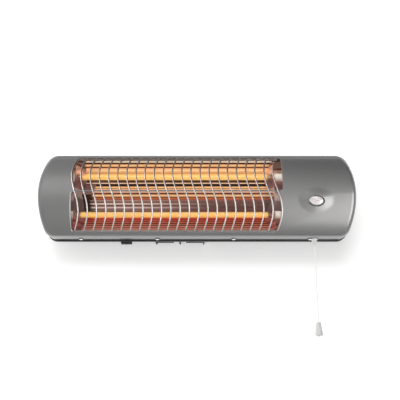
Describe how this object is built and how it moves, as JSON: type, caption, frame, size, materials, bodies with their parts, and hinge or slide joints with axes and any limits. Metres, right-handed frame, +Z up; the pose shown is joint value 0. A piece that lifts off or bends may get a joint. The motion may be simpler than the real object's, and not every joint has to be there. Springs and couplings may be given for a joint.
{
  "type": "electric bar heater",
  "caption": "Wall-mounted electric bar heater with quartz tubes in fluted reflectors, a waved wire guard, a tilting steel housing and a pull-cord switch.",
  "frame": {"origin": "on the wall, on the rear face of the wall bracket's plate, level with the middle of the housing and at the middle of its width", "axes": "+X to the right along the housing, +Y into the wall, +Z up; the front faces -Y"},
  "size_m": [0.547, 0.1097, 0.3162],
  "materials": {
    "grey_paint": "satin metallic paint",
    "black_paint": "satin",
    "bracket_paint": "satin",
    "bright_aluminium": "polished",
    "chrome_wire": "polished",
    "quartz": "clear, slightly milky",
    "glowing_coil": "glowing",
    "ceramic": "glazed ceramic",
    "zinc_steel": "zinc plated",
    "spring_steel": "plain",
    "lens_plastic": "polished",
    "lens_rim": "polished",
    "neon": "clear",
    "white_plastic": "smooth",
    "ivory_plastic": "smooth",
    "black_plastic": "matt",
    "brass": "bright",
    "cord": "braided",
    "lead_sleeve": "glass-fibre sleeve"
  },
  "bodies": {
    "bracket": {"wall_bracket": "bracket_paint", "hinge_pin": "zinc_steel", "wing_nut": "zinc_steel"},
    "heater": {"hinge_barrels": "bracket_paint", "back_panel": "black_paint", "front_cover": "grey_paint", "cover_screws": "zinc_steel", "left_end_bracket": "bright_aluminium", "right_end_bracket": "bright_aluminium", "upper_reflector": "bright_aluminium", "lower_reflector": "bright_aluminium", "upper_quartz_tube": "quartz", "lower_quartz_tube": "quartz", "upper_heating_coil": "glowing_coil", "lower_heating_coil": "glowing_coil", "upper_ceramic_caps": "ceramic", "lower_ceramic_caps": "ceramic", "tube_clips": "spring_steel", "guard_wires": "chrome_wire", "guard_rails": "chrome_wire", "lamp_lens": "lens_plastic", "lamp_bezel": "lens_rim", "lamp_holder": "white_plastic", "neon_lamp": "neon", "switch_body": "white_plastic", "switch_spring": "spring_steel", "switch_terminals": "brass", "cord_bush": "white_plastic", "terminal_block": "white_plastic", "terminal_screws": "brass", "cable_gland": "black_plastic", "earth_stud": "brass", "inner_leads": "lead_sleeve", "panel_rivets": "zinc_steel"},
    "puller": {"switch_slider": "white_plastic"},
    "cord": {"pull_cord": "cord", "pull_knob": "ivory_plastic"}
  },
  "joints": [
    {"name": "tilt", "type": "hinge", "parent": "bracket", "child": "heater", "pos_m": [-0.031, -0.016, -0.068], "axis": [1, 0, 0], "range_deg": [0, 22]},
    {"name": "cord_pull", "type": "slide", "parent": "heater", "child": "puller", "axis": [0, 0, -1], "range_m": [0, 0.01], "stiffness_N_per_m": 300, "springref_m": -0.01, "deforming": ["switch_spring"]},
    {"name": "cord_hang", "type": "hinge", "parent": "puller", "child": "cord", "pos_m": [0.205, -0.052, -0.0861], "axis": [1, 0, 0], "range_deg": [-22, 0]}
  ],
  "couplings": [
    {"joint": "cord_hang", "follows": "tilt", "ratio": -1}
  ]
}
